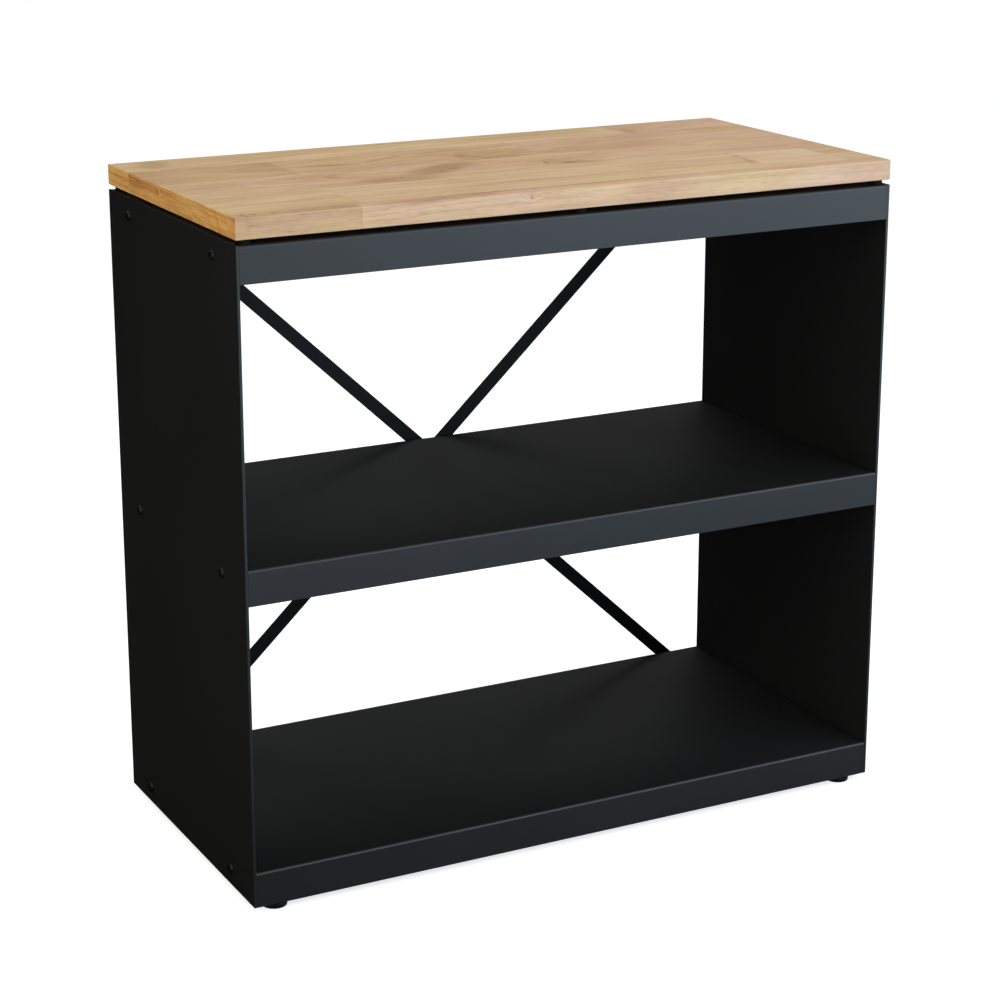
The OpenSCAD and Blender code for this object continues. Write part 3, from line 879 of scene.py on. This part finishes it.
class CABINET_OT_bolts(Operator):
    """Models a button-head bolt and copies it to the panels and the brace"""
    bl_idname = "cabinet.bolts"
    bl_label = "Bolts"

    def bolt(self, settings):
        """Models one bolt with its head above the floor and its thread below."""
        rim, top = settings.head / 2, settings.head_height
        profile = [(rim - HEAD_CHAMFER, 0.0), (rim, HEAD_CHAMFER), (rim, HEAD_RIM)]
        for step in range(1, HEAD_STEPS + 1):
            turn = step / HEAD_STEPS * HEAD_ARC
            inward = (rim - HEAD_FLAT) * (1 - math.cos(turn)) / (1 - math.cos(HEAD_ARC))
            upward = (top - HEAD_RIM) * math.sin(turn) / math.sin(HEAD_ARC)
            profile.append((rim - inward, HEAD_RIM + upward))
        head = turned("bolt", profile)
        carve(head, bar("socket", 6, corner_radius(settings.socket), 2 * SOCKET_DEPTH, (0, 0, top)))
        shank = threaded_rod("shank", settings.shank, settings.pitch, -settings.length, 0.0)
        bolt = joined("bolt", [head, shank])
        smooth(bolt, 30)
        return bolt

    def execute(self, context):
        settings = context.scene.cabinet_fixings
        bolt = self.bolt(settings)
        black = black_fastener()
        top = settings.head_height
        for node, ((about_x, about_y), axis, far) in BOLT_SETS.items():
            turn = Matrix.Rotation(math.radians(about_x), 4, "X") @ Matrix.Rotation(math.radians(about_y), 4, "Y")
            parts = []
            for number, (low, high) in enumerate(solids_of(node)):
                place = (low + high) / 2
                place[axis] = high[axis] - top if far else low[axis] + top
                spin = Matrix.Rotation(FIRST_TURN + NEXT_TURN * number, 4, "Z")
                parts.append(copied(bolt, "bolt_copy", Matrix.Translation(place) @ turn @ spin))
            fit(joined(f"{node}_set", parts), black, "black_fastener", BODY, node)
        delete(bolt)
        return {"FINISHED"}


class CABINET_OT_feet(Operator):
    """Models the levelling feet and all nuts, and finishes the screws, washers and spacers"""
    bl_idname = "cabinet.feet"
    bl_label = "Feet and small parts"

    def stud(self, settings):
        """Models one stud: thread, flange and collar."""
        low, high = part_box("front_left_foot_stud")
        foot = low.z
        rod = threaded_rod("stud", settings.shank, settings.pitch, foot, high.z)
        flange = turned("flange", [(radius, foot + height) for radius, height in FLANGE_PROFILE])
        across, bottom, top = COLLAR
        stud = joined("stud", [rod, flange, hexagon("collar", across, foot + bottom, foot + top)])
        smooth(stud, 35)
        return stud

    def execute(self, context):
        zinc, plastic = zinc_plate(), black_plastic()
        stud = self.stud(context.scene.cabinet_fixings)
        pad = turned("pad", PAD_PROFILE, 64)
        smooth(pad, 35)
        for corner in CORNERS:
            low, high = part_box(f"{corner}_foot_pad")
            place = Matrix.Translation(((low.x + high.x) / 2, (low.y + high.y) / 2, 0.0))
            piece = copied(stud, f"{corner}_stud_piece", place)
            fit(piece, zinc, "zinc_plate", f"{corner}_stud", f"{corner}_foot_stud")
            piece = copied(pad, f"{corner}_pad_piece", place)
            fit(piece, plastic, "black_plastic", f"{corner}_pad", f"{corner}_foot_pad")
        delete(stud)
        delete(pad)
        for node in (*[f"{tray}_weld_nuts" for tray in TRAYS], "foot_weld_nuts", "foot_lock_nuts"):
            nuts(node, zinc)
        for node in ("brace_spacers", "worktop_screws", "worktop_screw_washers"):
            give(node, zinc)
        give("worktop_spacers", black_rubber())
        return {"FINISHED"}


class CABINET_OT_stage(Operator):
    """Makes the floor, the room, the lamps and the camera"""
    bl_idname = "cabinet.stage"
    bl_label = "Stage"

    def camera(self, scene, settings):
        """Adds the camera at the photograph's place."""
        select()
        turn = (math.radians(90 - CAMERA_DOWN), 0, math.radians(-CAMERA_RIGHT))
        bpy.ops.object.camera_add(location=CAMERA_PLACE, rotation=turn)
        scene.camera = bpy.context.object
        scene.camera.data.lens = settings.lens
        scene.camera.data.sensor_width = SENSOR_WIDTH
        scene.camera.data.shift_y = settings.rise

    def room(self, scene, settings):
        """Makes the room white to look at, and dimmer as a light."""
        world = bpy.data.worlds.new("studio")
        scene.world = world
        world.use_nodes = True
        nodes = Nodes(world.node_tree)
        background = nodes.tree.nodes["Background"].inputs
        nodes.put(background["Strength"], nodes.remap(nodes.seen(), 0.0, 1.0, settings.ambient, 1.0))
        nodes.put(background["Color"], WHITE)

    def floor(self):
        """Adds a white floor that keeps the shadow and is clear from below."""
        paint = Paint(
            "floor_white", Base_Color=FLOOR_GREY, Roughness=1.0, Specular_IOR_Level=0.0, Emission_Color=WHITE)
        paint.set("Emission Strength", paint.calc("MULTIPLY", paint.seen(), FLOOR_GLOW))
        back = paint.add("ShaderNodeNewGeometry").outputs["Backfacing"]
        clear = paint.add("ShaderNodeBsdfTransparent").outputs[0]
        blend = paint.add("ShaderNodeMixShader", [back, paint.surface.outputs[0], clear]).outputs[0]
        paint.put(paint.tree.nodes["Material Output"].inputs["Surface"], blend)
        select()
        bpy.ops.mesh.primitive_plane_add(size=FLOOR_SIZE, location=(0, 0, 0))
        floor = added("floor")
        floor.data.materials.append(paint.material)

    def cloths(self, settings):
        """Hangs black cloths round the cabinet and lays one on the floor, which glows in part: a painted reflection
        of a lit floor under the cabinet and in front of it, which only reflections see.
        """
        finish = {"Base_Color": CLOTH_BLACK, "Roughness": 1.0, "Specular_IOR_Level": 0.0}
        dark = Paint("black_cloth", **finish)
        # The floor cloth's glow is a painted reflection of a lit floor, for the steel and zinc to mirror
        pale = Paint("pale_cloth", Emission_Color=GLOW_TINT, **finish)
        across, depth = pale.axes(pale.place)[:2]
        under = UNDER_GLOW
        for place, half in zip((across, depth), UNDER_HALVES):
            under = pale.calc("MULTIPLY", under, pale.calc("LESS_THAN", pale.calc("ABSOLUTE", place), half))
        front = pale.remap(depth, *FRONT_GLOW, 0.0, settings.bounce)
        pale.set("Emission Strength", pale.calc("ADD", under, front))
        for name, (low, high) in CLOTHS.items():
            cloth = block(name, low, high)
            cloth.data.materials.append(pale.material if name == "flag_floor" else dark.material)
            cloth.visible_camera = cloth.visible_diffuse = cloth.visible_shadow = cloth.visible_transmission = False

    def lamp(self, name, power, place, target, size, tint, mirrored):
        """Adds an area lamp that faces a point."""
        select()
        bpy.ops.object.light_add(type="AREA", location=place)
        lamp = bpy.context.object
        lamp.name = name
        lamp.rotation_euler = (Vector(target) - Vector(place)).to_track_quat("-Z", "Y").to_euler()
        lamp.data.shape = "RECTANGLE"
        lamp.data.size, lamp.data.size_y = size
        lamp.data.energy = power
        lamp.data.color = tint
        lamp.visible_camera = False
        lamp.visible_glossy = mirrored

    def execute(self, context):
        scene = context.scene
        settings = scene.cabinet_stage
        scene.view_settings.view_transform = "Standard"
        self.camera(scene, settings)
        self.room(scene, settings)
        self.floor()
        self.cloths(settings)
        for name, lamp in LAMPS.items():
            self.lamp(name, getattr(settings, name), *lamp)
        return {"FINISHED"}


class CABINET_PT_sidebar(Panel):
    """Lists the cabinet's steps and their settings"""
    bl_idname = "CABINET_PT_sidebar"
    bl_label = "Firewood cabinet"
    bl_space_type = "VIEW_3D"
    bl_region_type = "UI"
    bl_category = "Cabinet"

    def draw(self, context):
        for step in STEPS:
            self.layout.operator(step.bl_idname)
        for group in SETTINGS:
            settings = getattr(context.scene, group)
            for key in SETTINGS[group].__annotations__:
                self.layout.prop(settings, key)


STEPS = (CABINET_OT_worktop, CABINET_OT_panels, CABINET_OT_bolts, CABINET_OT_feet, CABINET_OT_stage)
SETTINGS = {
    "cabinet_worktop": WorktopSettings,
    "cabinet_steel": SteelSettings,
    "cabinet_fixings": FixingSettings,
    "cabinet_stage": StageSettings,
}


def register():
    for group in (*SETTINGS.values(), *STEPS, CABINET_PT_sidebar):
        bpy.utils.register_class(group)
    for name, group in SETTINGS.items():
        setattr(bpy.types.Scene, name, PointerProperty(type=group))


def unregister():
    for name in SETTINGS:
        delattr(bpy.types.Scene, name)
    for group in (CABINET_PT_sidebar, *reversed(STEPS), *SETTINGS.values()):
        bpy.utils.unregister_class(group)


def main():
    register()
    bpy.ops.cabinet.worktop()
    bpy.ops.cabinet.panels()
    bpy.ops.cabinet.bolts()
    bpy.ops.cabinet.feet()
    bpy.ops.cabinet.stage()
    select()


if __name__ == "__main__":
    main()
